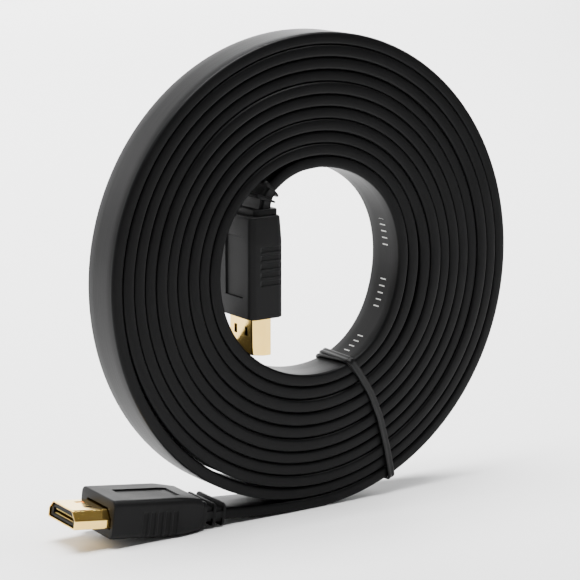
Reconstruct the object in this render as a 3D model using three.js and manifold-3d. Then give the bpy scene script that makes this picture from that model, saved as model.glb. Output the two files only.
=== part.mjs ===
// Flat ribbon cable, 3 m long, wound face to face into an upright coil that stands on its rim.
// One plug lies on the floor in front of the coil, the other hangs inside the bore.
// Millimetres. +Z is up and the floor is Z = 0. +Y is the coil's depth, and its front looks to -Y.
// While it is built, X = 0 is the middle of the winding. The finished group is centred at the end.
import * as THREE from "three";
import { mergeVertices } from "three/addons/utils/BufferGeometryUtils.js";
import Module from "manifold-3d";

const wasm = await Module();
wasm.setup();

// Clearance left between pieces that touch
const GAP = 0.3;

// Ribbon
const RIBBON_WIDTH = 12;
const RIBBON_THICKNESS = 2.95;
const RIBBON_EDGE = 0.7;

// Coil of ten turns, whose bore is as wide as the plug inside it needs
const COIL_OUTER_RADIUS = 59.05;
const BORE_SPARE = 8.15;
const TURN_CLEARANCE = 0.02;
const TURN_GROOVE_DEPTH = 0.8;
const TURN_GROOVE_HALF = 0.45;
const COIL_SEGMENTS = 60;
const COIL_SHIFT_X = 0.75;
const coilHeight = RIBBON_THICKNESS + GAP + COIL_OUTER_RADIUS;
const coilMiddleY = RIBBON_WIDTH / 2;

// Plug hood, with its collar and its strain relief
const HOOD_LENGTH = 25.6;
const HOOD_WIDTH = 17.4;
const HOOD_THICKNESS = 9.7;
const HOOD_CORNER = 1.6;
const HOOD_TAPER_LENGTH = 6;
const HOOD_TAPER = 0.8;
const COLLAR_LENGTH = 1.6;
const COLLAR_WIDTH = 14.6;
const COLLAR_THICKNESS = 6.8;
const RELIEF_LENGTH = 5.6;
const RELIEF_WIDTH = 13.2;
const RELIEF_WEB = 3.4;
const RELIEF_RIB_WIDTH = 13.8;
const RELIEF_RIB_THICKNESS = 5.8;
const RELIEF_RIB_LENGTH = 1;
const RELIEF_RIBS = 2;
const LABEL_LENGTH = 15.2;
const LABEL_WIDTH = 7.6;
const LABEL_DEPTH = 0.4;
const LABEL_FROM_FRONT = 5.2;
const LABEL_MIDDLE_Y = -1;
const GRIP_COUNT = 5;
const GRIP_PITCH = 2.05;
const GRIP_LENGTH = 1.35;
const GRIP_HEIGHT = 5.2;
const GRIP_DEPTH = 0.35;
const GRIP_MIDDLE = 13.2;
const GRIP_MIDDLE_Z = -0.7;
const SOCKET_DEPTH = 2.4;

// Plug shell, a folded tube with two cut corners, and what is in it
const SHELL_WIDTH = 13.9;
const SHELL_HEIGHT = 4.45;
const SHELL_NARROW_WIDTH = 10;
const SHELL_STEP = 2.3;
const SHELL_WALL = 0.35;
const SHELL_REACH = 9.6;
const INSULATOR_WIDE_WALL = 0.5;
const INSULATOR_NARROW_WALL = 0.9;
const INSULATOR_SET_BACK = 0.5;
const INSULATOR_FLOOR = 1.4;
const INSULATOR_SLOT_WIDTH = 10.2;
const CONTACTS_WIDE_ROW = 10;
const CONTACTS_NARROW_ROW = 9;
const CONTACT_PITCH = 1;
const CONTACT_WIDTH = 0.45;
const CONTACT_THICKNESS = 0.15;
const CONTACT_LENGTH = 8.2;
const CONTACT_BUMP = 0.15;

// Where the front plug lies: its hood's front face, with its nose lifted a little
const FRONT_PLUG_X = -60.8;
const FRONT_PLUG_Y = 7.9;
const FRONT_PLUG_LIFT = 2.35;
const FRONT_PLUG_PITCH = THREE.MathUtils.degToRad(6.9);
const FRONT_PLUG_YAW = THREE.MathUtils.degToRad(-1.9);
const FRONT_RELIEF_BEND = 0;
const FRONT_RELIEF_SHIFT = 0.25;

// The inner plug hangs in the bore, mouth down, with its middle a little above the bore's.
// Its shell's tip is near the bore's wall, and the cable pulls its strain relief over to the right.
const INNER_PLUG_RAISE = 1.3;
const INNER_TIP_CLEARANCE = 1.2;
const INNER_RELIEF_BEND = THREE.MathUtils.degToRad(49);
const INNER_RELIEF_SHIFT = 0.9;
const plugLength = SHELL_REACH + HOOD_LENGTH + COLLAR_LENGTH + RELIEF_LENGTH;
const boreRadius = plugLength / 2 + BORE_SPARE;
const innerTipZ = INNER_PLUG_RAISE - plugLength / 2;
const innerTipX = -Math.sqrt((boreRadius - INNER_TIP_CLEARANCE) ** 2 - innerTipZ ** 2);
const innerPlugX = COIL_SHIFT_X + innerTipX + SHELL_HEIGHT / 2;
const innerPlugZ = coilHeight + innerTipZ + SHELL_REACH;

// As many whole turns as there is room for between the bore and the outside
const windingDepth = COIL_OUTER_RADIUS - boreRadius;
const coilTurns = Math.floor(windingDepth / (RIBBON_THICKNESS + TURN_CLEARANCE) + 0.05);
const turnPitch = windingDepth / coilTurns;

// Innermost turn: it starts past the shell's tip and ends before the strain relief
const LEAD_PAST_TIP = THREE.MathUtils.degToRad(9);
const LEAD_BEFORE_RELIEF = THREE.MathUtils.degToRad(14);
const INNER_TURN_STEP = THREE.MathUtils.degToRad(6);
const innerTurnRadius = boreRadius - GAP - RIBBON_THICKNESS / 2;

// Flat tie round the coil's section
const TIE_ANGLE = THREE.MathUtils.degToRad(-69);
const TIE_WIDTH = 2;
const TIE_THICKNESS = 0.8;
const TIE_CORNER = 1.6;

const finish = (color, roughness, metalness) =>
  new THREE.MeshStandardMaterial({ color, roughness, metalness });
const jacketFinish = () => finish(0x202022, 0.42, 0);
const hoodFinish = () => finish(0x1d1d1f, 0.5, 0);
const goldFinish = () => finish(0xe2c27c, 0.25, 1);
const insulatorFinish = () => finish(0x111112, 0.5, 0);

// A closed geometry becomes a solid, and a solid becomes a geometry.
function solidOf(geometry) {
  const bare = geometry.clone();
  bare.deleteAttribute("normal");
  bare.deleteAttribute("uv");
  const merged = mergeVertices(bare, 1e-5);
  return new wasm.Manifold(new wasm.Mesh({
    numProp: 3,
    vertProperties: new Float32Array(merged.attributes.position.array),
    triVerts: new Uint32Array(merged.index.array),
  }));
}

function geometryOf(solid) {
  const mesh = solid.getMesh();
  const geometry = new THREE.BufferGeometry();
  geometry.setAttribute("position", new THREE.BufferAttribute(mesh.vertProperties, 3));
  geometry.setIndex(new THREE.BufferAttribute(mesh.triVerts, 1));
  geometry.computeVertexNormals();
  return geometry;
}

function namedMesh(name, geometry, material) {
  const mesh = new THREE.Mesh(geometry, material);
  mesh.name = name;
  return mesh;
}

// A box given by its middle and its sizes
function block(sizeX, sizeY, sizeZ, x, y, z) {
  return new THREE.BoxGeometry(sizeX, sizeY, sizeZ).translate(x, y, z);
}

// Rectangle round the middle with each corner cut off, eight points
function cutRectangle(width, height, corner) {
  const shape = new THREE.Shape();
  const w = width / 2;
  const h = height / 2;
  shape.moveTo(-w + corner, -h);
  shape.lineTo(w - corner, -h);
  shape.lineTo(w, -h + corner);
  shape.lineTo(w, h - corner);
  shape.lineTo(w - corner, h);
  shape.lineTo(-w + corner, h);
  shape.lineTo(-w, h - corner);
  shape.lineTo(-w, -h + corner);
  shape.closePath();
  return shape;
}

// Rectangle round the middle with round corners
function roundRectangle(width, height, radius) {
  const shape = new THREE.Shape();
  const w = width / 2 - radius;
  const h = height / 2 - radius;
  shape.absarc(w, h, radius, 0, Math.PI / 2);
  shape.absarc(-w, h, radius, Math.PI / 2, Math.PI);
  shape.absarc(-w, -h, radius, Math.PI, Math.PI * 1.5);
  shape.absarc(w, -h, radius, Math.PI * 1.5, Math.PI * 2);
  shape.closePath();
  return shape;
}

// Outline of the plug's shell across its width and height: the cut corners are at the top.
function shellOutline(inset) {
  const wide = SHELL_WIDTH / 2 - inset;
  const narrow = SHELL_NARROW_WIDTH / 2 - inset;
  const bottom = -SHELL_HEIGHT / 2 + inset;
  const top = SHELL_HEIGHT / 2 - inset;
  const step = -SHELL_HEIGHT / 2 + SHELL_STEP;
  return [
    new THREE.Vector2(-wide, bottom),
    new THREE.Vector2(wide, bottom),
    new THREE.Vector2(wide, step),
    new THREE.Vector2(narrow, top),
    new THREE.Vector2(-narrow, top),
    new THREE.Vector2(-wide, step),
  ];
}

// An outline across the plug's width (Y) and height (Z), drawn out along the plug from one X to another
function alongPlug(shape, fromX, toX, curveSegments = 2) {
  const geometry = new THREE.ExtrudeGeometry(shape, {
    depth: toX - fromX,
    bevelEnabled: false,
    curveSegments,
  });
  return geometry.rotateX(Math.PI / 2).rotateZ(Math.PI / 2).translate(fromX, 0, 0);
}

// A section of the hood at one place along it, as a ring of points for the loft
function hoodRing(x, width, thickness) {
  const outline = roundRectangle(width, thickness, HOOD_CORNER).getPoints(2);
  if (outline[0].distanceTo(outline[outline.length - 1]) < 1e-6) {
    outline.pop();
  }
  return outline.map((p) => new THREE.Vector3(x, p.x, p.y));
}

// Rings of equally many points joined by side faces and closed by a flat fan at both ends
function loft(rings) {
  const count = rings[0].length;
  const points = rings.flat();
  const index = [];
  for (let ring = 0; ring + 1 < rings.length; ring += 1) {
    for (let i = 0; i < count; i += 1) {
      const a = ring * count + i;
      const b = ring * count + ((i + 1) % count);
      index.push(a, b, a + count, b, b + count, a + count);
    }
  }
  const last = (rings.length - 1) * count;
  for (let i = 1; i + 1 < count; i += 1) {
    index.push(0, i + 1, i);
    index.push(last, last + i, last + i + 1);
  }
  const geometry = new THREE.BufferGeometry().setFromPoints(points);
  geometry.setIndex(index);
  return geometry;
}

// The strain relief sits off the middle by the shift, and bends in the plug's XZ plane past the collar.
function reliefPlace(distance, bend, shift) {
  const start = HOOD_LENGTH + COLLAR_LENGTH;
  if (bend === 0) {
    return { x: start + distance, z: -shift, turn: 0 };
  }
  const radius = RELIEF_LENGTH / bend;
  const turn = distance / radius;
  return { x: start + radius * Math.sin(turn), z: -shift - radius * (1 - Math.cos(turn)), turn };
}

// A piece of the strain relief from one distance to another along it
function reliefPiece(width, thickness, from, to, bend, shift) {
  const place = reliefPlace((from + to) / 2, bend, shift);
  const geometry = alongPlug(cutRectangle(width, thickness, RIBBON_EDGE), (from - to) / 2, (to - from) / 2);
  return geometry.rotateY(place.turn).translate(place.x, 0, place.z);
}

// Hood, collar and strain relief are one moulding. X runs from the front face towards the cable.
function hoodGeometry(bend, shift) {
  const endWidth = HOOD_WIDTH - HOOD_TAPER * 2;
  const endThickness = HOOD_THICKNESS - HOOD_TAPER * 2;
  let hood = solidOf(loft([
    hoodRing(0, HOOD_WIDTH, HOOD_THICKNESS),
    hoodRing(HOOD_LENGTH - HOOD_TAPER_LENGTH, HOOD_WIDTH, HOOD_THICKNESS),
    hoodRing(HOOD_LENGTH, endWidth, endThickness),
  ]));
  const collar = cutRectangle(COLLAR_WIDTH, COLLAR_THICKNESS, HOOD_CORNER);
  const collarEnd = HOOD_LENGTH + COLLAR_LENGTH;
  const collarPiece = alongPlug(collar, HOOD_LENGTH - COLLAR_LENGTH, collarEnd).translate(0, 0, -shift);
  hood = hood.add(solidOf(collarPiece));

  const ribStep = RELIEF_LENGTH / RELIEF_RIBS;
  for (let i = 0; i < RELIEF_RIBS; i += 1) {
    const end = ribStep * (i + 1);
    const start = ribStep * i;
    const overlap = i === 0 ? COLLAR_LENGTH / 2 : RELIEF_RIB_LENGTH / 2;
    const ribStart = end - RELIEF_RIB_LENGTH;
    const ribMiddle = end - RELIEF_RIB_LENGTH / 2;
    const web = reliefPiece(RELIEF_WIDTH, RELIEF_WEB, start - overlap, ribMiddle, bend, shift);
    const rib = reliefPiece(RELIEF_RIB_WIDTH, RELIEF_RIB_THICKNESS, ribStart, end, bend, shift);
    hood = hood.add(solidOf(web)).add(solidOf(rib));
  }

  // Socket that holds the end of the shell
  const socket = new THREE.Shape(shellOutline(-GAP));
  hood = hood.subtract(solidOf(alongPlug(socket, -SOCKET_DEPTH, SOCKET_DEPTH)));

  // Shallow label field on both wide faces
  for (const side of [-1, 1]) {
    const middle = LABEL_FROM_FRONT + LABEL_LENGTH / 2;
    const face = side * HOOD_THICKNESS / 2;
    const field = block(LABEL_LENGTH, LABEL_WIDTH, LABEL_DEPTH * 2, middle, LABEL_MIDDLE_Y, face);
    hood = hood.subtract(solidOf(field));
  }

  // Grip bars on both narrow faces
  for (const side of [-1, 1]) {
    for (let i = 0; i < GRIP_COUNT; i += 1) {
      const x = GRIP_MIDDLE + (i - (GRIP_COUNT - 1) / 2) * GRIP_PITCH;
      const face = side * HOOD_WIDTH / 2;
      const bar = block(GRIP_LENGTH, GRIP_DEPTH * 2, GRIP_HEIGHT, x, face, GRIP_MIDDLE_Z);
      hood = hood.subtract(solidOf(bar));
    }
  }
  return geometryOf(hood);
}

// Folded metal tube, open at both ends, seated in the hood's socket
function shellGeometry() {
  const shape = new THREE.Shape(shellOutline(0));
  shape.holes.push(new THREE.Path(shellOutline(SHELL_WALL)));
  return alongPlug(shape, -SHELL_REACH, SOCKET_DEPTH - GAP);
}

const insulatorInset = SHELL_WALL + GAP;
const slotTop = SHELL_HEIGHT / 2 - insulatorInset - INSULATOR_NARROW_WALL;
const slotBottom = -SHELL_HEIGHT / 2 + insulatorInset + INSULATOR_WIDE_WALL;
const insulatorMouth = -SHELL_REACH + INSULATOR_SET_BACK;
const insulatorEnd = SOCKET_DEPTH - GAP;

// Block with the slot that the socket's tongue enters
function insulatorGeometry() {
  const body = solidOf(alongPlug(new THREE.Shape(shellOutline(insulatorInset)), insulatorMouth, insulatorEnd));
  const slotEnd = insulatorEnd - INSULATOR_FLOOR;
  const slotLength = slotEnd - insulatorMouth + 1;
  const slotHeight = slotTop - slotBottom;
  const slotMiddle = (slotTop + slotBottom) / 2;
  const cut = block(slotLength, INSULATOR_SLOT_WIDTH, slotHeight, slotEnd - slotLength / 2, 0, slotMiddle);
  return geometryOf(body.subtract(solidOf(cut)));
}

// A contact is a thin strip with a low bump near the mouth. It lies along the slot's top or bottom wall.
function contactGeometry(side, y) {
  const wall = side > 0 ? slotTop : slotBottom;
  const outer = wall - side * GAP;
  const inner = outer - side * CONTACT_THICKNESS;
  const start = insulatorMouth + GAP;
  const end = start + CONTACT_LENGTH;
  const bumpStart = start + CONTACT_LENGTH * 0.12;
  const bumpTop = start + CONTACT_LENGTH * 0.22;
  const bumpEnd = start + CONTACT_LENGTH * 0.32;
  const lift = side * CONTACT_BUMP;
  const shape = new THREE.Shape([
    new THREE.Vector2(start, outer),
    new THREE.Vector2(end, outer),
    new THREE.Vector2(end, inner),
    new THREE.Vector2(bumpEnd, inner),
    new THREE.Vector2(bumpTop, inner - lift),
    new THREE.Vector2(bumpStart, inner),
    new THREE.Vector2(start, inner),
  ]);
  const geometry = new THREE.ExtrudeGeometry(shape, { depth: CONTACT_WIDTH, bevelEnabled: false });
  return geometry.rotateX(Math.PI / 2).translate(0, y + CONTACT_WIDTH / 2, 0);
}

// All the pieces of one plug, in the plug's own frame
function plug(name, bend, shift) {
  const group = new THREE.Group();
  group.add(namedMesh(`${name}_hood`, hoodGeometry(bend, shift), hoodFinish()));
  group.add(namedMesh(`${name}_shell`, shellGeometry(), goldFinish()));
  group.add(namedMesh(`${name}_insulator`, insulatorGeometry(), insulatorFinish()));
  const rows = [
    { side: -1, count: CONTACTS_WIDE_ROW },
    { side: 1, count: CONTACTS_NARROW_ROW },
  ];
  let number = 0;
  for (const { side, count } of rows) {
    for (let i = 0; i < count; i += 1) {
      number += 1;
      const y = (i - (count - 1) / 2) * CONTACT_PITCH;
      const label = String(number).padStart(2, "0");
      group.add(namedMesh(`${name}_contact_${label}`, contactGeometry(side, y), goldFinish()));
    }
  }
  return group;
}

// The wound turns are one turned ring: a groove between each turn and the next shows on both faces.
function coilGeometry() {
  const half = RIBBON_WIDTH / 2;
  const face = [];
  for (let turn = 0; turn < coilTurns; turn += 1) {
    const r = boreRadius + turn * turnPitch;
    face.push([r, half - TURN_GROOVE_DEPTH]);
    face.push([r + TURN_GROOVE_HALF, half]);
    face.push([r + turnPitch - TURN_GROOVE_HALF, half]);
  }
  face.push([COIL_OUTER_RADIUS, half - TURN_GROOVE_DEPTH]);
  const near = face.map(([r, y]) => new THREE.Vector2(r, -y));
  const far = face.map(([r, y]) => new THREE.Vector2(r, y)).reverse();
  const profile = [...near, ...far, near[0].clone()];
  return new THREE.LatheGeometry(profile, COIL_SEGMENTS);
}

// A ribbon drawn along a route that stays close to the XZ plane
function ribbonGeometry(points, steps) {
  const section = cutRectangle(RIBBON_WIDTH, RIBBON_THICKNESS, RIBBON_EDGE);
  return new THREE.ExtrudeGeometry(section, {
    steps,
    extrudePath: new THREE.CatmullRomCurve3(points, false, "centripetal"),
  });
}

// The front plug's frame, turned and lifted into its place on the floor
const frontPlug = plug("front", FRONT_RELIEF_BEND, FRONT_RELIEF_SHIFT);
frontPlug.rotation.set(0, FRONT_PLUG_PITCH, FRONT_PLUG_YAW, "ZYX");
const hoodBottom = new THREE.Vector3(0, 0, -HOOD_THICKNESS / 2).applyEuler(frontPlug.rotation);
frontPlug.position.set(
  FRONT_PLUG_X - hoodBottom.x,
  FRONT_PLUG_Y - hoodBottom.y,
  FRONT_PLUG_LIFT - hoodBottom.z,
);
frontPlug.updateMatrixWorld(true);

// The inner plug's frame: its X axis points up, and its cable end bends to the right.
const innerPlug = plug("inner", INNER_RELIEF_BEND, INNER_RELIEF_SHIFT);
innerPlug.rotation.set(0, -Math.PI / 2, 0);
innerPlug.position.set(innerPlugX, coilMiddleY, innerPlugZ);
innerPlug.updateMatrixWorld(true);

// The cable end of a plug's strain relief, a clearance past its last rib
function cableEnd(plugGroup, bend, shift, past) {
  const place = reliefPlace(RELIEF_LENGTH, bend, shift);
  const end = new THREE.Vector3(
    place.x + past * Math.cos(place.turn),
    0,
    place.z - past * Math.sin(place.turn),
  );
  return end.applyMatrix4(plugGroup.matrixWorld);
}

// Stretch from the front plug along the floor to below the coil
const floorMiddle = RIBBON_THICKNESS / 2;
const tailPoints = [
  cableEnd(frontPlug, FRONT_RELIEF_BEND, FRONT_RELIEF_SHIFT, GAP),
  cableEnd(frontPlug, FRONT_RELIEF_BEND, FRONT_RELIEF_SHIFT, GAP + 3),
  new THREE.Vector3(-20.5, 6.55, 2.28),
  new THREE.Vector3(-15.5, 6.35, 1.9),
  new THREE.Vector3(-10.5, 6.1, 1.64),
  new THREE.Vector3(-6, coilMiddleY, 1.51),
  new THREE.Vector3(-2.5, coilMiddleY, floorMiddle),
  new THREE.Vector3(2, coilMiddleY, floorMiddle),
  new THREE.Vector3(6.5, coilMiddleY, floorMiddle),
  new THREE.Vector3(11, coilMiddleY, floorMiddle),
];

// Innermost turn against the coil's bore, then the bend down into the inner plug
const leadPoints = [];
const reliefEnd = cableEnd(innerPlug, INNER_RELIEF_BEND, INNER_RELIEF_SHIFT, GAP);
const leadStart = Math.atan2(innerTipZ, innerTipX) + LEAD_PAST_TIP;
const leadEnd = Math.atan2(reliefEnd.z - coilHeight, reliefEnd.x - COIL_SHIFT_X) - LEAD_BEFORE_RELIEF;
const leadSteps = Math.round((leadEnd - leadStart) / INNER_TURN_STEP);
for (let i = 0; i <= leadSteps; i += 1) {
  const angle = leadStart + (i / leadSteps) * (leadEnd - leadStart);
  leadPoints.push(new THREE.Vector3(
    COIL_SHIFT_X + innerTurnRadius * Math.cos(angle),
    coilMiddleY,
    coilHeight + innerTurnRadius * Math.sin(angle),
  ));
}
leadPoints.push(cableEnd(innerPlug, INNER_RELIEF_BEND, INNER_RELIEF_SHIFT, GAP + 3));
leadPoints.push(reliefEnd);

// Loop of flat band round the coil's section, across the inner turn too
function tieGeometry() {
  const inside = innerTurnRadius - RIBBON_THICKNESS / 2 - GAP;
  const outside = COIL_OUTER_RADIUS + GAP;
  const height = outside - inside;
  const depth = RIBBON_WIDTH + GAP * 2;
  const shape = roundRectangle(height + TIE_THICKNESS * 2, depth + TIE_THICKNESS * 2, TIE_CORNER);
  shape.holes.push(roundRectangle(height, depth, TIE_CORNER - TIE_THICKNESS));
  const geometry = new THREE.ExtrudeGeometry(shape, {
    depth: TIE_WIDTH,
    bevelEnabled: false,
    curveSegments: 3,
  });
  geometry.translate((inside + outside) / 2, 0, -TIE_WIDTH / 2);
  return geometry.rotateY(-TIE_ANGLE);
}

const coil = new THREE.Group();
coil.position.set(COIL_SHIFT_X, coilMiddleY, coilHeight);
coil.add(namedMesh("cable_coil", coilGeometry(), jacketFinish()));
coil.add(namedMesh("coil_tie", tieGeometry(), hoodFinish()));

const cable = new THREE.Group();
cable.add(coil);
cable.add(namedMesh("cable_tail", ribbonGeometry(tailPoints, 18), jacketFinish()));
cable.add(namedMesh("cable_lead", ribbonGeometry(leadPoints, 48), jacketFinish()));
cable.add(frontPlug);
cable.add(innerPlug);

// The origin goes to the bottom middle of the whole cable.
cable.updateMatrixWorld(true);
const reach = new THREE.Box3().setFromObject(cable, true);
const middle = reach.getCenter(new THREE.Vector3());
cable.position.set(-middle.x, -middle.y, -reach.min.z);

export default cable;
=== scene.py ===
import math

import bpy
import numpy as np
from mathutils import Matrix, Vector


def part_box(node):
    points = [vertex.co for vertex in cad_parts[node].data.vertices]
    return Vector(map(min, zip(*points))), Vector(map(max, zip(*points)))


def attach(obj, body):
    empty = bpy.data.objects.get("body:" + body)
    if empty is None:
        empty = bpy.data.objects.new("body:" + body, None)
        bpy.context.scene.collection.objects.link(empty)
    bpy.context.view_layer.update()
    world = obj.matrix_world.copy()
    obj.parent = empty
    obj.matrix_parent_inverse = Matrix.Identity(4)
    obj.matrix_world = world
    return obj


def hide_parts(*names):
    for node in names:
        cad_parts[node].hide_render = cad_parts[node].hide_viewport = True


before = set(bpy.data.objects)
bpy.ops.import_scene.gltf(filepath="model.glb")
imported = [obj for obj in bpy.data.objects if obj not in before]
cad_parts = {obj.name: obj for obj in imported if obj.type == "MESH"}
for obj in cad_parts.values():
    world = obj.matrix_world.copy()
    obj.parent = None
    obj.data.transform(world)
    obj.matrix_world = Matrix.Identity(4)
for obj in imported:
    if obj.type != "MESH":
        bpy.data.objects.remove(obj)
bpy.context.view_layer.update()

# Where the object stands. Sizes below are in millimetres, and MM turns them into metres.
# The source's own origin is the winding's middle in X, the coil's front face in Y and the floor in Z.
# From there the middle of cable_coil's box is COIL_SHIFT_X to the right and COIL_HEIGHT up.
MM = 0.001
COIL_SHIFT_X = 0.75
COIL_HEIGHT = 62.3
coil_low, coil_high = (np.array(corner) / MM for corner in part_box("cable_coil"))
source_origin = np.array([
    (coil_low[0] + coil_high[0]) / 2 - COIL_SHIFT_X,
    coil_low[1],
    (coil_low[2] + coil_high[2]) / 2 - COIL_HEIGHT,
])

# Camera. A long lens looks at the coil's front from the left, a little above the coil's middle.
CAMERA_PLACE = (-325.7, -463.2, 174.1)
CAMERA_AZIMUTH = math.radians(-34.41)
CAMERA_ELEVATION = math.radians(11.69)
FOCAL_PIXELS = 2300
FRAME_PIXELS = 580

camera_data = bpy.data.cameras.new("camera")
camera_data.sensor_width = 36
camera_data.lens = FOCAL_PIXELS / FRAME_PIXELS * camera_data.sensor_width
camera_data.clip_start = 0.02
camera_data.clip_end = 50
camera = bpy.data.objects.new("camera", camera_data)
bpy.context.scene.collection.objects.link(camera)
camera.location = Vector((source_origin + CAMERA_PLACE) * MM)
backwards = Vector((
    math.sin(CAMERA_AZIMUTH) * math.cos(CAMERA_ELEVATION),
    -math.cos(CAMERA_AZIMUTH) * math.cos(CAMERA_ELEVATION),
    math.sin(CAMERA_ELEVATION),
))
camera.rotation_euler = backwards.to_track_quat("Z", "Y").to_euler()
bpy.context.scene.camera = camera


# Flat cable. One black ribbon of soft PVC, extruded over its wires, 12 mm wide and about 2.94 m long.
# It leaves the front plug, lies on the floor, winds ten and a half turns inwards, and bends into the
# inner plug.
RIBBON_WIDTH = 12
RIBBON_THICKNESS = 2.95
RIBBON_EDGE = 0.65
RIBBON_CROWN = 0.08
WINDING_HEIGHT = 61.57
TURN_PITCH = 3.07
RING_STEP = math.radians(2.2)
LAST_WIND = 3780
TAIL_STEP = 1.5
LEAD_STEP = 1.0
GAP = 0.3
# Loose places: millimetres of radius, degrees of winding, then the side of the coil that they lie on, in
# degrees from the right up over the top, with its reach
OUTER_SLACK, OUTER_SLACK_WIND, OUTER_SLACK_REACH = 0.55, 322, 55
BOTTOM_SAG, BOTTOM_SAG_FROM, BOTTOM_SAG_OVER, BOTTOM_SIDE = 1.5, 1800, 1800, (-100, 75)
RIGHT_SAG, RIGHT_SAG_FROM, RIGHT_SAG_OVER, RIGHT_SIDE = 1.6, 2900, 700, (-12, 62)
UPPER_LEFT_SWELL, UPPER_LEFT_SWELL_BY, UPPER_LEFT_SIDE = 0.6, 3600, (140, 60)
THICKEST_OUTER_TURN, THICKEST_INNER_TURN, INNER_TURNS_FROM = 3.1, 3.3, 1500
# Rings to either side over which the thickness is evened out
EVEN_OUT = 6
# Sway in depth: each wave's height, waves a turn and lead. It fades out over SWAY_FADE degrees at each end.
SWAYS = ((0.16, 0.37, 0), (0.1, 1.21, 0.8))
SWAY_FADE = 200

# Plug sizes and places that the cable's two ends need
HOOD_LENGTH = 25.6
HOOD_THICKNESS = 9.7
COLLAR_LENGTH = 1.6
RELIEF_LENGTH = 5.6
INNER_RELIEF_BEND = math.radians(49)
INNER_RELIEF_SHIFT = 0.9
FRONT_RELIEF_SHIFT = 0.25
FRONT_PLUG_PITCH = math.radians(6.9)
FRONT_PLUG_YAW = math.radians(-1.9)
# The lower front edge of the front plug's hood, and the middle of the inner plug's front face
FRONT_PLUG_PLACE = (-60.8, 7.9, 2.35)
INNER_PLUG_PLACE = (-16.935, 6, 52)
pitch_turn = np.array([
    [math.cos(FRONT_PLUG_PITCH), 0, math.sin(FRONT_PLUG_PITCH)],
    [0, 1, 0],
    [-math.sin(FRONT_PLUG_PITCH), 0, math.cos(FRONT_PLUG_PITCH)],
])
yaw_turn = np.array([
    [math.cos(FRONT_PLUG_YAW), -math.sin(FRONT_PLUG_YAW), 0],
    [math.sin(FRONT_PLUG_YAW), math.cos(FRONT_PLUG_YAW), 0],
    [0, 0, 1],
])
front_turn = yaw_turn @ pitch_turn
front_place = np.array(FRONT_PLUG_PLACE) - front_turn @ [0, 0, -HOOD_THICKNESS / 2]
inner_turn = np.array([[0, 0, -1], [0, 1, 0], [1, 0, 0]])
inner_place = np.array(INNER_PLUG_PLACE)
# Each plug: its relief's bend and shift, and the turn and place of its frame
front_plug = (0, FRONT_RELIEF_SHIFT, front_turn, front_place)
inner_plug = (INNER_RELIEF_BEND, INNER_RELIEF_SHIFT, inner_turn, inner_place)


def bend_relief(points, bend, shift):
    """Carries points in a plug's frame (X along it, Y across, Z up) round the strain relief's bend: past
    the collar the distance along X is an arc's length, and the section turns with the arc in the XZ plane.
    Past the hood all points are moved down by the shift."""
    start = HOOD_LENGTH + COLLAR_LENGTH
    radius = RELIEF_LENGTH / max(bend, 1e-4)
    turn = np.clip(points[..., 0] - start, 0, None) / radius
    bent = points.copy()
    bent[..., 0] = np.minimum(points[..., 0], start) + radius * np.sin(turn) + points[..., 2] * np.sin(turn)
    bent[..., 2] = points[..., 2] * np.cos(turn) - radius * (1 - np.cos(turn))
    bent[..., 2] -= shift * (points[..., 0] > HOOD_LENGTH)
    return bent


def relief_end(past, plug):
    """The middle of a relief's end, a distance past it along the cable, in the source's frame."""
    bend, shift, turn, place = plug
    end = bend_relief(np.array([[HOOD_LENGTH + COLLAR_LENGTH + RELIEF_LENGTH, 0.0, 0.0]]), bend, shift)[0]
    end = end + past * np.array([math.cos(bend), 0, -math.sin(bend)])
    return turn @ end + place


def smooth_curve(points, step):
    """Points about a step apart on a spline through the given ones: on each span a cubic joins its two
    points, and its slope at each is half the way from the point before to the point after."""
    points = np.asarray(points, float)
    before = np.vstack([2 * points[:1] - points[1:2], points[:-1]])
    after = np.vstack([points[1:], 2 * points[-1:] - points[-2:-1]])
    slopes = (after - before) / 2
    pieces = []
    for a, b, slope_a, slope_b in zip(points[:-1], points[1:], slopes[:-1], slopes[1:]):
        count = max(2, int(np.linalg.norm(b - a) / step))
        t = (np.arange(count) / count)[:, None]
        pieces.append(
            (2 * t**3 - 3 * t**2 + 1) * a + (t**3 - 2 * t**2 + t) * slope_a
            + (3 * t**2 - 2 * t**3) * b + (t**3 - t**2) * slope_b
        )
    return np.vstack(pieces + [points[-1:]])


def swell(wind, middle, reach):
    """A hump of height 1 at one place along the winding, down to 0 a reach to either side, on a cosine."""
    return np.where(np.abs(wind - middle) < reach, 0.5 + 0.5 * np.cos(np.pi * (wind - middle) / reach), 0)


def turn_outside(wind):
    """Radius of the ribbon's outer side in the coil, by degrees wound from the bottom: an even spiral,
    whose outermost turn stands off a little at the lower left. Its inner turns sag more and more at the
    bottom and at the right, and lie a little further out at the upper left."""
    def side(middle, reach):
        return swell((wind - 90 - middle + 180) % 360 - 180, 0, reach)

    bottom = np.clip((wind - BOTTOM_SAG_FROM) / BOTTOM_SAG_OVER, 0, 1)
    right = np.clip((wind - RIGHT_SAG_FROM) / RIGHT_SAG_OVER, 0, 1)
    slack = OUTER_SLACK * swell(wind, OUTER_SLACK_WIND, OUTER_SLACK_REACH)
    radius = WINDING_HEIGHT - TURN_PITCH * wind / 360 + slack
    radius = radius - BOTTOM_SAG * bottom * side(*BOTTOM_SIDE)
    radius = radius - RIGHT_SAG * right * side(*RIGHT_SIDE)
    return radius + UPPER_LEFT_SWELL * wind / UPPER_LEFT_SWELL_BY * side(*UPPER_LEFT_SIDE)


def turn_thickness(wind):
    """The soft ribbon's thickness in the coil: it fills the room to the next turn, but for the loose
    places."""
    room = turn_outside(wind) - turn_outside(wind + 360) - 0.01
    thickest = np.where(wind < INNER_TURNS_FROM, THICKEST_OUTER_TURN, THICKEST_INNER_TURN)
    return np.clip(room, RIBBON_THICKNESS, thickest)


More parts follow.
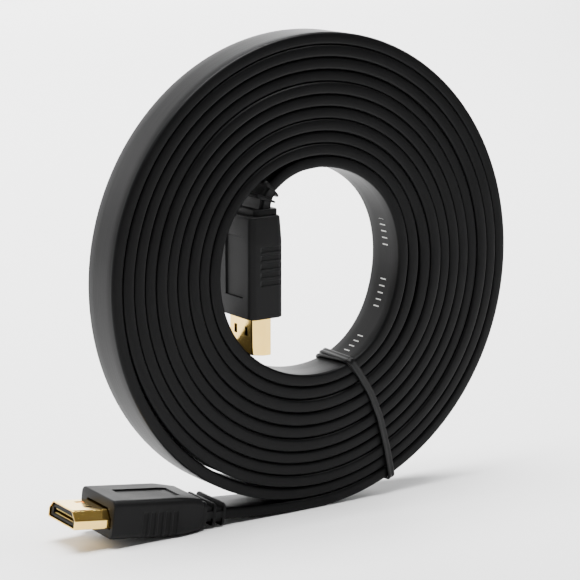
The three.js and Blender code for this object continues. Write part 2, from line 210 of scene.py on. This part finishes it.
def winding(wind):
    """The ribbon's middle line in the coil, by degrees wound from the bottom, with a slight sway in
    depth."""
    radius = turn_outside(wind) - turn_thickness(wind) / 2
    angle = np.radians(wind - 90)
    sway = sum(height * np.sin(np.radians(wind) * rate + phase) for height, rate, phase in SWAYS)
    fade = np.clip(wind / SWAY_FADE, 0, 1)
    depth = RIBBON_WIDTH / 2 + sway * fade * np.clip((LAST_WIND - wind) / SWAY_FADE, 0, 1)
    return np.stack([radius * np.cos(angle), depth, WINDING_HEIGHT + radius * np.sin(angle)], axis=1)


# The stretch from the front plug along the floor
tail = smooth_curve([
    relief_end(-1, front_plug),
    relief_end(GAP, front_plug),
    relief_end(GAP + 3, front_plug),
    (-20.5, 6.55, 2.28),
    (-15.5, 6.35, 1.9),
    (-10.5, 6.1, 1.64),
    (-6, RIBBON_WIDTH / 2, 1.51),
    (-2.5, RIBBON_WIDTH / 2, RIBBON_THICKNESS / 2),
    (0, RIBBON_WIDTH / 2, RIBBON_THICKNESS / 2),
], TAIL_STEP)
coil_winds = np.arange(0, LAST_WIND + 0.01, math.degrees(RING_STEP))
coil = winding(coil_winds)
# The bend from the innermost turn into the inner plug
lead = smooth_curve([
    coil[-3],
    coil[-1],
    (-5, RIBBON_WIDTH / 2, 88.8),
    (-9.54, RIBBON_WIDTH / 2, 87.08),
    relief_end(GAP, inner_plug),
    relief_end(-1, inner_plug),
], LEAD_STEP)
route = np.vstack([tail[:-1], coil[:-3], lead]) + source_origin
thickness = np.full(len(route), float(RIBBON_THICKNESS))
thickness[len(tail) - 1:-len(lead)] = turn_thickness(coil_winds[:-3])
window = np.full(2 * EVEN_OUT + 1, 1 / (2 * EVEN_OUT + 1))
thickness = np.convolve(np.pad(thickness, EVEN_OUT, "edge"), window, "valid")


def flat_section(width, thickness, edge, crown, corner_steps=4, face_steps=4, edge_steps=2):
    """Outline of a flat band: a rectangle with round corners, whose short sides bulge by the crown.
    Two columns, across the band and through it."""
    points = []
    for quarter, (side_a, side_b) in enumerate([(1, 1), (-1, 1), (-1, -1), (1, -1)]):
        angle = math.pi / 2 * (quarter + np.arange(corner_steps + 1) / corner_steps)
        middle = np.array([side_a * (width / 2 - edge), side_b * (thickness / 2 - edge)])
        points.append(middle + edge * np.stack([np.cos(angle), np.sin(angle)], axis=1))
    outline = []
    for quarter in range(4):
        here, following = points[quarter], points[(quarter + 1) % 4]
        steps = face_steps if quarter % 2 == 0 else edge_steps
        share = (np.arange(1, steps) / steps)[:, None]
        outline += [here, here[-1] + share * (following[0] - here[-1])]
    outline = np.vstack(outline)
    bulge = 1 - (2 * outline[:, 1] / thickness) ** 2
    outline[:, 0] += np.sign(outline[:, 0]) * crown * bulge * (np.abs(outline[:, 0]) > width / 2 - edge)
    return outline


def carry(line, across, section, stretch=1.0):
    """A section carried along a line: at each point, the first column goes along the across direction,
    squared to the line, and the second, times the stretch there, along the normal of both."""
    along = np.gradient(line, axis=0)
    along /= np.linalg.norm(along, axis=1, keepdims=True)
    sideways = across - along * (along @ across)[:, None]
    sideways /= np.linalg.norm(sideways, axis=1, keepdims=True)
    up = np.cross(along, sideways) * np.broadcast_to(stretch, len(line))[:, None]
    return line[:, None] + section[None, :, :1] * sideways[:, None] + section[None, :, 1:] * up[:, None]


# Edges where faces meet more steeply than this are shaded sharp
SHARP_EDGE = math.radians(38)


def face_inwards(points, quads):
    """Whether the quads of a closed grid face inwards, by the sign of its volume."""
    first, second, third, fourth = (points[quads[:, i]] for i in range(4))
    return np.einsum("ij,ij->i", first, np.cross(second, third) + np.cross(third, fourth)).sum() < 0


def smooth_piece(name, points, faces):
    """An object of points in metres and faces, shaded smooth but for its sharp edges."""
    mesh = bpy.data.meshes.new(name)
    mesh.from_pydata(points.tolist(), [], faces)
    mesh.polygons.foreach_set("use_smooth", np.ones(len(mesh.polygons), bool))
    mesh.set_sharp_from_angle(angle=SHARP_EDGE)
    piece = bpy.data.objects.new(name, mesh)
    bpy.context.scene.collection.objects.link(piece)
    return piece


def skin(name, rings, route_map=False):
    """A closed mesh over a grid of rings (rings, points round, 3), in millimetres: quads join each ring to
    the next and the last point round to the first, and a flat face closes both ends. Its faces are turned
    outwards by the sign of its volume. A route map holds the metres along the rings and round them."""
    count, around = rings.shape[:2]
    corner = np.arange(count * around).reshape(count, around)
    turned = np.roll(corner, -1, axis=1)
    quads = np.stack([corner[:-1], corner[1:], turned[1:], turned[:-1]], axis=-1).reshape(-1, 4)
    points = rings.reshape(-1, 3) * MM
    inwards = face_inwards(points, quads)
    ends = [corner[0], corner[-1][::-1]]
    if inwards:
        quads = quads[:, ::-1]
        ends = [end[::-1] for end in ends]
    piece = smooth_piece(name, points, quads.tolist() + [end.tolist() for end in ends])
    if route_map:
        step = np.linalg.norm(np.diff(rings.mean(axis=1), axis=0), axis=1)
        along = np.concatenate([[0], np.cumsum(step)]) * MM
        step = np.linalg.norm(np.diff(np.vstack([rings[0], rings[0][:1]]), axis=0), axis=1)
        round_it = np.concatenate([[0], np.cumsum(step)]) * MM
        row, column = np.meshgrid(np.arange(count - 1), np.arange(around), indexing="ij")
        rows = np.stack([row, row + 1, row + 1, row], axis=-1).reshape(-1, 4)
        columns = np.stack([column, column, column + 1, column + 1], axis=-1).reshape(-1, 4)
        if inwards:
            rows, columns = rows[:, ::-1], columns[:, ::-1]
        places = np.stack([along[rows], round_it[columns]], axis=-1).reshape(-1, 2)
        places = np.vstack([places, np.zeros((2 * around, 2))])
        piece.data.uv_layers.new(name="route").data.foreach_set("uv", places.astype(np.float32).ravel())
    return piece


class Field:
    """A value that changes over a surface. A sum written with it adds the Math nodes that work it out."""

    def __init__(self, finish, socket):
        self.finish = finish
        self.socket = socket

    def __add__(self, other):
        return self.finish.math("ADD", self, other)

    def __radd__(self, other):
        return self.finish.math("ADD", other, self)

    def __sub__(self, other):
        return self.finish.math("SUBTRACT", self, other)

    def __mul__(self, other):
        return self.finish.math("MULTIPLY", self, other)

    def __rmul__(self, other):
        return self.finish.math("MULTIPLY", other, self)

    def __lt__(self, other):
        return self.finish.math("LESS_THAN", self, other)

    def __gt__(self, other):
        return self.finish.math("GREATER_THAN", self, other)

    def __mod__(self, other):
        return self.finish.math("FLOORED_MODULO", self, other)

    def __abs__(self):
        return self.finish.math("ABSOLUTE", self)


class Finish:
    """A material with one shader. Numbers that are the same all over are set on the shader's own
    sockets."""

    def __init__(self, name, **even):
        self.material = bpy.data.materials.new(name)
        self.material.use_nodes = True
        self.tree = self.material.node_tree
        self.shader = self.tree.nodes["Principled BSDF"]
        for socket, value in even.items():
            self.shader.inputs[socket.replace("_", " ")].default_value = value

    def node(self, kind, settings=None, inputs=None, output=0):
        """Adds a node: its settings first, then the values or links of its sockets. Returns one output."""
        made = self.tree.nodes.new(kind)
        for name, value in (settings or {}).items():
            setattr(made, name, value)
        for name, value in (inputs or {}).items():
            if isinstance(value, Field):
                self.tree.links.new(value.socket, made.inputs[name])
            else:
                made.inputs[name].default_value = value
        return Field(self, made.outputs[output])

    def math(self, operation, *values):
        return self.node("ShaderNodeMath", {"operation": operation}, dict(enumerate(values)))

    def blend(self, share, shade_a, shade_b):
        """A colour between two others, by a share from 0 to 1."""
        inputs = {0: share, 6: shade_a, 7: shade_b}
        return self.node("ShaderNodeMix", {"data_type": "RGBA", "clamp_factor": True}, inputs, 2)

    def grain(self, scale, detail=2.0, stretch=(1, 1, 1), route_map=None):
        """Noise from 0 to 1 on the object's own metres, or on a route map's, stretched along its axes."""
        if route_map:
            place = self.node("ShaderNodeUVMap", {"uv_map": route_map})
        else:
            place = self.node("ShaderNodeTexCoord", output="Object")
        place = self.node("ShaderNodeMapping", inputs={"Vector": place, "Scale": stretch})
        return self.node("ShaderNodeTexNoise", inputs={"Vector": place, "Scale": scale, "Detail": detail})

    def feed(self, socket, field):
        self.tree.links.new(field.socket, self.shader.inputs[socket])

    def relief(self, height, depth):
        """Feeds a height from 0 to 1, that many metres deep, to the shader as a bump."""
        self.feed("Normal", self.node("ShaderNodeBump", inputs={"Height": height, "Distance": depth}))


def put_on(piece, finish):
    """Gives a piece its finish, in the slots of its object."""
    if not piece.material_slots:
        piece.data.materials.append(finish.material)
    for slot in piece.material_slots:
        slot.material = finish.material


# The darkest and the palest shade of the black plastics
BLACKS = ((0.003, 0.003, 0.0032, 1), (0.006, 0.006, 0.0062, 1))
MARK_WHITE = (0.62, 0.62, 0.6, 1)

jacket = Finish("satin_pvc_jacket", Specular_IOR_Level=0.08)
route_place = jacket.node("ShaderNodeUVMap", {"uv_map": "route"})
along = jacket.node("ShaderNodeSeparateXYZ", inputs={"Vector": route_place}, output="X")
round_it = jacket.node("ShaderNodeSeparateXYZ", inputs={"Vector": route_place}, output="Y")
drawn = jacket.grain(1, 3, (45, 2600, 1), "route")
clouds = jacket.grain(55, 4)
pores = jacket.grain(5200, 1)
plain = jacket.blend(clouds, *BLACKS)

# Plain white length marks on the inner side of the last turn: short strokes in groups. Sizes in metres.
travelled = np.concatenate([[0], np.cumsum(np.linalg.norm(np.diff(route, axis=0), axis=1))]) * MM
MARK_GROUP = 0.0163
MARK_SHARE = 0.52
MARK_STEP = 0.0019
MARK_LINE = 0.17
MARK_REACH = 0.0011
MARK_WINDS = (3628, 3727)
marks_start, marks_end = (
    travelled[len(tail) - 1 + round(wind / math.degrees(RING_STEP))] for wind in MARK_WINDS
)
section = flat_section(RIBBON_WIDTH, RIBBON_THICKNESS, RIBBON_EDGE, RIBBON_CROWN)
section_step = np.linalg.norm(np.diff(np.vstack([section, section[:1]]), axis=0), axis=1)
section_round = np.concatenate([[0], np.cumsum(section_step)])[:-1] * MM
inner_middle = section_round[(np.abs(section[:, 0]) < 0.01) & (section[:, 1] > 0)][0]
group = (((along - marks_start) % MARK_GROUP) * (1 / MARK_GROUP)) < MARK_SHARE
stroke = ((along % MARK_STEP) * (1 / MARK_STEP)) < MARK_LINE
band = abs(round_it - inner_middle) < MARK_REACH
marks = group * stroke * band * (along > marks_start) * (along < marks_end)
jacket.feed("Base Color", jacket.blend(marks, plain, MARK_WHITE))
jacket.feed("Roughness", 0.33 + 0.12 * drawn + 0.06 * clouds)
jacket.relief(0.7 * drawn + 0.3 * pores, 0.00003)

cable_rings = carry(route, np.array([0.0, 1, 0]), section, thickness / RIBBON_THICKNESS)
cable = skin("flat_cable", cable_rings, route_map=True)
put_on(cable, jacket)
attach(cable, "root")
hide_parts("cable_coil", "cable_tail", "cable_lead")


# Studio. A pale floor runs under and behind the object, and large soft lights stand round it. Sizes here
# are in metres, and the power of a light is in watts.
FLOOR_REACH = 9
WORLD_STRENGTH = 0.15
COIL_MIDDLE = (0, 0, 0.06)
floor_corners = [(x * FLOOR_REACH, y * FLOOR_REACH, 0) for x, y in ((-1, -1), (1, -1), (1, 1), (-1, 1))]
floor_mesh = bpy.data.meshes.new("floor")
floor_mesh.from_pydata(floor_corners, [], [(0, 1, 2, 3)])
floor = bpy.data.objects.new("floor", floor_mesh)
bpy.context.scene.collection.objects.link(floor)
floor_finish = Finish("pale_floor", Base_Color=(0.93, 0.93, 0.93, 1), Roughness=0.55)
put_on(floor, floor_finish)

world = bpy.data.worlds.new("studio")
world.use_nodes = True
world.node_tree.nodes["Background"].inputs["Color"].default_value = (1, 1, 1, 1)
world.node_tree.nodes["Background"].inputs["Strength"].default_value = WORLD_STRENGTH
bpy.context.scene.world = world


def soft_light(name, place, target, width, height, power):
    """An area light of that size in metres at one place, turned to a target. The camera doesn't see it."""
    data = bpy.data.lights.new(name, "AREA")
    data.shape = "RECTANGLE"
    data.size = width
    data.size_y = height
    data.energy = power
    light = bpy.data.objects.new(name, data)
    bpy.context.scene.collection.objects.link(light)
    light.location = place
    light.rotation_euler = (Vector(place) - Vector(target)).to_track_quat("Z", "Y").to_euler()
    light.visible_camera = False


soft_light("top_light", place=(0.05, 0.25, 1.6), target=(0.3, 1.6, 0), width=1.6, height=1.2, power=145)
soft_light("back_light", place=(0.2, 1.5, 0.45), target=COIL_MIDDLE, width=2.4, height=0.9, power=36)
soft_light("left_light", place=(-1.3, 0.15, 0.5), target=COIL_MIDDLE, width=0.9, height=0.9, power=2.6)


# Tie. A flat black plastic band, drawn tight round the coil's section at the lower right. It goes round once,
# crosses itself on the bore's side, and its end tucks in behind.
TIE_ANGLE = math.radians(-67.8)
TIE_WIDTH = 1.9
TIE_THICKNESS = 0.75
TIE_CLEAR = 0.12
TIE_BEND = 1.3
TIE_EDGE = 0.3
TIE_CROWN = 0.03
TIE_GROOVE_DEPTH = 0.12
TIE_GROOVE_REACH = 0.3
TIE_TURNS = 10
SWAY_ROOM = 0.2
outward = np.array([math.cos(TIE_ANGLE), 0, math.sin(TIE_ANGLE)])
sideways = np.array([-math.sin(TIE_ANGLE), 0, math.cos(TIE_ANGLE)])


def round_corners(corners, radius, steps=6):
    """A line through corners with each bend rounded: near a corner the line follows a curve that leaves one
    side and meets the other, each the radius away, with weights that go from one side to the other."""
    corners = np.asarray(corners, float)
    line = [corners[:1]]
    for before, corner, after in zip(corners[:-2], corners[1:-1], corners[2:]):
        start = corner + (before - corner) / np.linalg.norm(before - corner) * radius
        end = corner + (after - corner) / np.linalg.norm(after - corner) * radius
        t = (np.arange(steps + 1) / steps)[:, None]
        line.append((1 - t) ** 2 * start + 2 * t * (1 - t) * corner + t**2 * end)
    return np.vstack(line + [corners[-1:]])


tie_wind = math.degrees(TIE_ANGLE) + 90
tie_winds = np.array([tie_wind, 360 * TIE_TURNS + tie_wind])
outside = turn_outside(tie_winds)[0] + TIE_CLEAR + TIE_THICKNESS / 2
inside = (turn_outside(tie_winds) - turn_thickness(tie_winds))[1] - TIE_CLEAR - TIE_THICKNESS / 2
near = -SWAY_ROOM - TIE_CLEAR - TIE_THICKNESS / 2
far = RIBBON_WIDTH + SWAY_ROOM + TIE_CLEAR + TIE_THICKNESS / 2
# Each corner: distance from the winding's middle, depth, and shift along the turns
tie_corners = np.array([
    (inside + 3.5, near + 0.5, 1.0),
    (inside, near + 0.5, 0),
    (inside, far, -0.9),
    (outside, far, -0.4),
    (outside, near, 0),
    (outside - 8, near, 1.5),
    (outside - 17, near, 2.6),
    (inside + 11, near, 2.5),
    (inside + 4, near, 1.2),
    (inside - 0.3, near, 0.1),
    (inside - 0.3, far + 0.1, 0.5),
    (inside + 3.5, far + 0.1, 0.6),
])
tie_line = round_corners(tie_corners, TIE_BEND)
tie_line = (
    tie_line[:, :1] * outward + tie_line[:, 1:2] * np.array([0, 1, 0]) + tie_line[:, 2:] * sideways
    + [0, 0, WINDING_HEIGHT] + source_origin
)
tie_section = flat_section(TIE_WIDTH, TIE_THICKNESS, TIE_EDGE, TIE_CROWN, corner_steps=3, face_steps=6)
tie_groove = TIE_GROOVE_DEPTH * np.exp(-(tie_section[:, 0] / TIE_GROOVE_REACH) ** 2)
tie_section[:, 1] -= np.sign(tie_section[:, 1]) * tie_groove
tie = skin("cable_tie", carry(tie_line, sideways, tie_section))

tie_plastic = Finish("smooth_tie_plastic", Specular_IOR_Level=0.18)
tie_clouds = tie_plastic.grain(180, 3)
tie_plastic.feed("Base Color", tie_plastic.blend(tie_clouds, *BLACKS))
tie_plastic.feed("Roughness", 0.34 + 0.15 * tie_clouds)
tie_plastic.relief(tie_plastic.grain(2600, 2), 0.00002)
put_on(tie, tie_plastic)
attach(tie, "root")
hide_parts("coil_tie")


# Plug hoods. Black PVC moulded over the plug's body and the cable's end: a block with a shallow label field
# on both wide faces and five grip bars on both narrow ones, then a collar and a ribbed strain relief.
HOOD_WIDTH = 17.4
HOOD_CORNER = 1.5
HOOD_FRONT_EDGE = 0.4
HOOD_TAPER_LENGTH = 6.6
HOOD_TAPER_CURVE = 1.2
HOOD_RING_STEP = 0.1
# How far the rear narrows: less on the inner plug
HOOD_TAPER = {"front": 0.8, "inner": 0.35}
HOOD_BACK_EDGE = 0.4
COLLAR_WIDTH = 14.6
COLLAR_THICKNESS = 6.8
COLLAR_CORNER = 1.3
RELIEF_WIDTH = 13.5
RELIEF_WEB = 3.4
RELIEF_WEB_WIDTH = 12.3
RELIEF_WEB_CORNER = 0.3
RELIEF_RAIL = 1.8
RELIEF_RIB_WIDTH = 13.8
RELIEF_RIB_THICKNESS = 5.8
RELIEF_RIB_LENGTH = 0.8
RELIEF_RIB_CORNER = 1.1
RELIEF_RIBS = 2
LABEL_LENGTH = 15.2
LABEL_LOW, LABEL_HIGH = -4.8, 2.8
LABEL_DEPTH = 0.4
LABEL_FROM_FRONT = 5.2
GRIP_COUNT = 5
GRIP_PITCH = 2.1
GRIP_LENGTH = 1.3
GRIP_LOW, GRIP_HIGH = -4.4, 1.8
GRIP_DEPTH = 0.35
GRIP_MIDDLE = 13.2
# How soft the edges of label field and grip bars are, along the hood and across it
LABEL_SOFT = (0.06, 0.12)
GRIP_SOFT = (0.14, 0.2)
SOCKET_DEPTH = 2.4
SOCKET_EDGE = 0.12
SHELL_WIDTH = 13.9
SHELL_HEIGHT = 4.45
SHELL_NARROW_WIDTH = 10
SHELL_STEP = 2.3
HOOD_STEPS = (8, 64, 26)


def hood_outline(width, thickness, corner):
    """A rectangle with round corners across Y and Z, always with the same number of points on each corner
    and side, so that rings of different sizes match."""
    corner_steps, wide_steps, narrow_steps = HOOD_STEPS
    return flat_section(width, thickness, corner, 0, corner_steps, wide_steps, narrow_steps)


def shell_radius(angle, inset):
    """Distance from the middle to the shell's outline in each direction: the nearest of its six sides, each
    moved in by the inset. The outline is a wide box with its two top corners cut off."""
    slope = np.array([SHELL_HEIGHT - SHELL_STEP, (SHELL_WIDTH - SHELL_NARROW_WIDTH) / 2])
    slope = slope / np.linalg.norm(slope)
    reach = slope @ [SHELL_WIDTH / 2, SHELL_STEP - SHELL_HEIGHT / 2]
    sides = np.array([
        (0, -1, SHELL_HEIGHT / 2), (1, 0, SHELL_WIDTH / 2), (-1, 0, SHELL_WIDTH / 2),
        (0, 1, SHELL_HEIGHT / 2), (slope[0], slope[1], reach), (-slope[0], slope[1], reach),
    ])
    facing = np.cos(angle)[:, None] * sides[:, 0] + np.sin(angle)[:, None] * sides[:, 1]
    return np.where(facing > 1e-6, (sides[:, 2] - inset) / np.maximum(facing, 1e-6), 1e9).min(axis=1)


def ramp(value, start, end):
    """0 before the start, 1 after the end, and between them a smooth step."""
    t = np.clip((value - start) / (end - start), 0, 1)
    return t * t * (3 - 2 * t)


def field_mask(value, low, high, soft):
    """1 between two limits and 0 outside them, with soft edges."""
    return ramp(value, low - soft, low + soft) * (1 - ramp(value, high - soft, high + soft))


def hood_rings(bend, shift, taper):
    """The hood as rings from the socket's floor out over the front face, along the block, and down to the
    strain relief's end. Each ring is an outline at one X; label field and grip bars push its points in."""
    rings = []

    def add(x, outline):
        rings.append(np.column_stack([np.full(len(outline), x), outline]))

    front = hood_outline(HOOD_WIDTH, HOOD_THICKNESS, HOOD_CORNER)
    angle = np.arctan2(front[:, 1], front[:, 0])
    direction = np.stack([np.cos(angle), np.sin(angle)], axis=1)
    socket = direction * shell_radius(angle, -GAP)[:, None]
    add(SOCKET_DEPTH, socket * 0.3)
    add(SOCKET_DEPTH, socket)
    add(SOCKET_EDGE, socket)
    add(0, socket + direction * SOCKET_EDGE)
    for step in np.linspace(0, math.pi / 2, 6):
        inset = HOOD_FRONT_EDGE * (1 - math.sin(step))
        outline = hood_outline(HOOD_WIDTH - 2 * inset, HOOD_THICKNESS - 2 * inset, HOOD_CORNER - inset * 0.5)
        add(HOOD_FRONT_EDGE * (1 - math.cos(step)), outline)
    body_end = HOOD_LENGTH - HOOD_BACK_EDGE
    for x in np.arange(HOOD_FRONT_EDGE + HOOD_RING_STEP, body_end, HOOD_RING_STEP):
        share = max(0, (x - HOOD_LENGTH + HOOD_TAPER_LENGTH) / HOOD_TAPER_LENGTH)
        narrowing = taper * share ** HOOD_TAPER_CURVE
        outline = hood_outline(HOOD_WIDTH - 2 * narrowing, HOOD_THICKNESS - 2 * narrowing, HOOD_CORNER)
        on_wide = np.abs(outline[:, 1]) > HOOD_THICKNESS / 2 - narrowing - 0.05
        label = field_mask(x, LABEL_FROM_FRONT, LABEL_FROM_FRONT + LABEL_LENGTH, LABEL_SOFT[0])
        label = label * field_mask(outline[:, 0], LABEL_LOW, LABEL_HIGH, LABEL_SOFT[1]) * on_wide
        outline[:, 1] -= np.sign(outline[:, 1]) * LABEL_DEPTH * label
        bars = sum(
            field_mask(x, middle - GRIP_LENGTH / 2, middle + GRIP_LENGTH / 2, GRIP_SOFT[0])
            for middle in GRIP_MIDDLE + (np.arange(GRIP_COUNT) - (GRIP_COUNT - 1) / 2) * GRIP_PITCH
        )
        bars = bars * field_mask(outline[:, 1], GRIP_LOW, GRIP_HIGH, GRIP_SOFT[1])
        on_narrow = np.abs(outline[:, 0]) > HOOD_WIDTH / 2 - HOOD_CORNER
        outline[:, 0] -= np.sign(outline[:, 0]) * GRIP_DEPTH * bars * on_narrow
        add(x, outline)
    for step in np.linspace(0, math.pi / 2, 7):
        inset = taper + HOOD_BACK_EDGE * (1 - math.cos(step))
        outline = hood_outline(HOOD_WIDTH - 2 * inset, HOOD_THICKNESS - 2 * inset, HOOD_CORNER)
        add(body_end + HOOD_BACK_EDGE * math.sin(step), outline)

    collar = (COLLAR_WIDTH, COLLAR_THICKNESS, COLLAR_CORNER)
    web = (RELIEF_WIDTH, RELIEF_WEB, RELIEF_WEB_CORNER)
    rib = (RELIEF_RIB_WIDTH, RELIEF_RIB_THICKNESS, RELIEF_RIB_CORNER)
    end = HOOD_LENGTH + COLLAR_LENGTH
    # Each station: X, section and inset. Insets round the edges, and negative ones fill the corners a little.
    stations = [(HOOD_LENGTH + 0.02, collar, 0), (end - 0.3, collar, 0), (end - 0.09, collar, 0.09)]
    stations += [(end, collar, 0.3), (end + 0.02, web, -0.12), (end + 0.2, web, 0)]
    rib_step = RELIEF_LENGTH / RELIEF_RIBS
    for i in range(RELIEF_RIBS):
        rib_end = end + rib_step * (i + 1)
        rib_start = rib_end - RELIEF_RIB_LENGTH
        stations += [(rib_start - 0.2, web, 0), (rib_start - 0.02, web, -0.12), (rib_start, rib, 0.25)]
        stations += [(rib_start + 0.07, rib, 0.07), (rib_start + 0.25, rib, 0), (rib_end - 0.25, rib, 0)]
        stations += [(rib_end - 0.07, rib, 0.07), (rib_end, rib, 0.25)]
        if i + 1 < RELIEF_RIBS:
            stations += [(rib_end + 0.02, web, -0.12), (rib_end + 0.2, web, 0)]
    for x, (width, thickness, corner), inset in stations:
        outline = hood_outline(width - 2 * inset, thickness - 2 * inset, corner)
        if thickness == RELIEF_WEB:
            beside_rail = np.abs(outline[:, 1]) > RELIEF_RAIL / 2
            limit = np.where(beside_rail, RELIEF_WEB_WIDTH / 2, RELIEF_WIDTH)
            outline[:, 0] = np.clip(outline[:, 0], -limit, limit)
        add(x, outline)
    return bend_relief(np.array(rings), bend, shift)


HOOD_BLACKS = ((0.0035, 0.0035, 0.0037, 1), (0.007, 0.007, 0.0072, 1))
hood_plastic = Finish("matt_moulded_hood", Specular_IOR_Level=0.12)
hood_clouds = hood_plastic.grain(140, 4)
hood_pores = hood_plastic.grain(3600, 2)
hood_plastic.feed("Base Color", hood_plastic.blend(hood_clouds, *HOOD_BLACKS))
hood_plastic.feed("Roughness", 0.45 + 0.14 * hood_clouds)
hood_plastic.relief(hood_pores, 0.000025)

plugs = {"front": front_plug, "inner": inner_plug}
for name, (bend, shift, turn, place) in plugs.items():
    rings = hood_rings(bend, shift, HOOD_TAPER[name])
    hood = skin(f"{name}_plug_hood", rings @ turn.T + place + source_origin)
    put_on(hood, hood_plastic)
    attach(hood, "root")
    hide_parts(f"{name}_hood")


# Plug shells. A strip of thin metal folded to a tube with two cut corners and plated with gold. Each wide
# face has two holes that the socket's springs snap into.
SHELL_WALL = 0.35
SHELL_REACH = 9.6
SHELL_FOLD = 0.32
SHELL_LIP = 0.12
HOLE_FROM_MOUTH = (4.6, 6.9)
HOLE_SIDES = (1.7, 3.0)
HOLE_RIM = 0.15
SHELL_POINTS = 256
SHELL_FINE = 8


def shell_outline(inset, count):
    """Outline of the folded tube: points spread evenly round its six sides, whose corners are then rounded
    by averaging each point with its neighbours within the fold's radius."""
    wide = SHELL_WIDTH / 2 - inset
    narrow = SHELL_NARROW_WIDTH / 2 - inset * 0.5
    bottom = inset - SHELL_HEIGHT / 2
    top = SHELL_HEIGHT / 2 - inset
    step = SHELL_STEP - SHELL_HEIGHT / 2
    corners = np.array([
        (-wide, bottom), (wide, bottom), (wide, step), (narrow, top), (-narrow, top), (-wide, step),
    ])
    closed = np.vstack([corners, corners[:1]])
    length = np.concatenate([[0], np.cumsum(np.linalg.norm(np.diff(closed, axis=0), axis=1))])
    fine = np.arange(count * SHELL_FINE) / (count * SHELL_FINE) * length[-1]
    points = np.stack([np.interp(fine, length, closed[:, axis]) for axis in range(2)], axis=1)
    reach = int(round(SHELL_FOLD / length[-1] * count * SHELL_FINE))
    total = sum(np.roll(points, shift, axis=0) for shift in range(-reach, reach + 1))
    return (total / (2 * reach + 1))[::SHELL_FINE]


def shell_piece(name, turn, place):
    """The tube as a grid of stations along X by points round it, once outside and once inside. Cells in the
    holes are left out, and a strip joins the two skins along each rim: the holes' and both open ends'."""
    count = SHELL_POINTS
    outside, inside = shell_outline(0, count), shell_outline(SHELL_WALL, count)
    mouth = -SHELL_REACH
    hole = (mouth + HOLE_FROM_MOUTH[0], mouth + HOLE_FROM_MOUTH[1])
    stations = np.array([
        mouth, mouth + 0.04, mouth + 0.12, mouth + 0.3, mouth + 1.5,
        hole[0] - HOLE_RIM, hole[0], hole[0] + HOLE_RIM, (hole[0] + hole[1]) / 2,
        hole[1] - HOLE_RIM, hole[1], hole[1] + HOLE_RIM, -1.0, 0.0, SOCKET_DEPTH - GAP,
    ])
    lip = np.interp(stations - mouth, [0, 0.04, 0.12], [SHELL_LIP, SHELL_LIP * 0.3, 0])
    inward = inside - outside
    inward /= np.linalg.norm(inward, axis=1, keepdims=True)
    skins = []
    for outline, sign in ((outside, 1), (inside, -1)):
        across = outline[None] + sign * lip[:, None, None] * inward[None]
        along = np.broadcast_to(stations[:, None, None], across.shape[:2] + (1,))
        skins.append(np.concatenate([along, across], axis=2))
    points = np.vstack([layer.reshape(-1, 3) for layer in skins])

    rows = len(stations)
    middle_x = (stations[:-1] + stations[1:]) / 2
    middle = (outside + np.roll(outside, -1, axis=0)) / 2
    in_x = (middle_x > hole[0]) & (middle_x < hole[1])
    wide_face = np.abs(middle[:, 1]) > SHELL_HEIGHT / 2 - 0.05
    in_y = wide_face & (np.abs(middle[:, 0]) > HOLE_SIDES[0]) & (np.abs(middle[:, 0]) < HOLE_SIDES[1])
    keep = ~(in_x[:, None] & in_y[None])
    corner = np.arange(rows * count).reshape(rows, count)
    turned = np.roll(corner, -1, axis=1)
    inner = rows * count
    quads = np.stack([corner[:-1], corner[1:], turned[1:], turned[:-1]], axis=-1)[keep]
    faces = [quads, quads[:, ::-1] + inner]
    solid = np.vstack([np.zeros((1, count), bool), keep, np.zeros((1, count), bool)])
    starts, ends = solid[1:] & ~solid[:-1], solid[:-1] & ~solid[1:]
    faces.append(np.stack([corner, turned, turned + inner, corner + inner], axis=-1)[starts])
    faces.append(np.stack([turned, corner, corner + inner, turned + inner], axis=-1)[ends])
    opens, closes = keep & ~np.roll(keep, 1, axis=1), ~keep & np.roll(keep, 1, axis=1)
    low, high = corner[:-1], corner[1:]
    faces.append(np.stack([high, low, low + inner, high + inner], axis=-1)[opens])
    faces.append(np.stack([low, high, high + inner, low + inner], axis=-1)[closes])
    faces = np.vstack(faces)
    used, faces = np.unique(faces, return_inverse=True)
    faces = faces.reshape(-1, 4)
    points = (points[used] @ turn.T + place + source_origin) * MM
    if face_inwards(points, faces):
        faces = faces[:, ::-1]
    return smooth_piece(name, points, faces.tolist())


GOLDS = ((0.90, 0.57, 0.13, 1), (0.96, 0.68, 0.21, 1))
gold = Finish("pale_gold_plating", Metallic=1)
gold_clouds = gold.grain(320, 3)
drawing = gold.grain(900, 2, (0.12, 1, 1))
gold.feed("Base Color", gold.blend(gold_clouds, *GOLDS))
gold.feed("Roughness", 0.08 + 0.06 * gold_clouds + 0.05 * drawing)
gold.relief(drawing, 0.000012)

for name, (_, _, turn, place) in plugs.items():
    shell = shell_piece(f"{name}_plug_shell", turn, place)
    put_on(shell, gold)
    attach(shell, "root")
    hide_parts(f"{name}_shell")


# Insulators and contacts. A black moulded block fills each shell, and thin plated strips lie in its slot.
insulator_plastic = Finish("black_insulator", Specular_IOR_Level=0.08)
insulator_clouds = insulator_plastic.grain(500, 3)
insulator_plastic.feed("Base Color", insulator_plastic.blend(insulator_clouds, *BLACKS))
insulator_plastic.feed("Roughness", 0.42 + 0.12 * insulator_clouds)
insulator_plastic.relief(insulator_plastic.grain(4200, 2), 0.00001)

for name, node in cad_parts.items():
    if name.endswith("_insulator"):
        put_on(node, insulator_plastic)
    elif "_contact_" in name:
        put_on(node, gold)
    else:
        continue

# The middle of the front plug's relief end, 0.3 mm past it along the cable, in metres; the value is not used.
# The cable's turns lie face to face.
(relief_end(0.3, front_plug) + source_origin) * MM
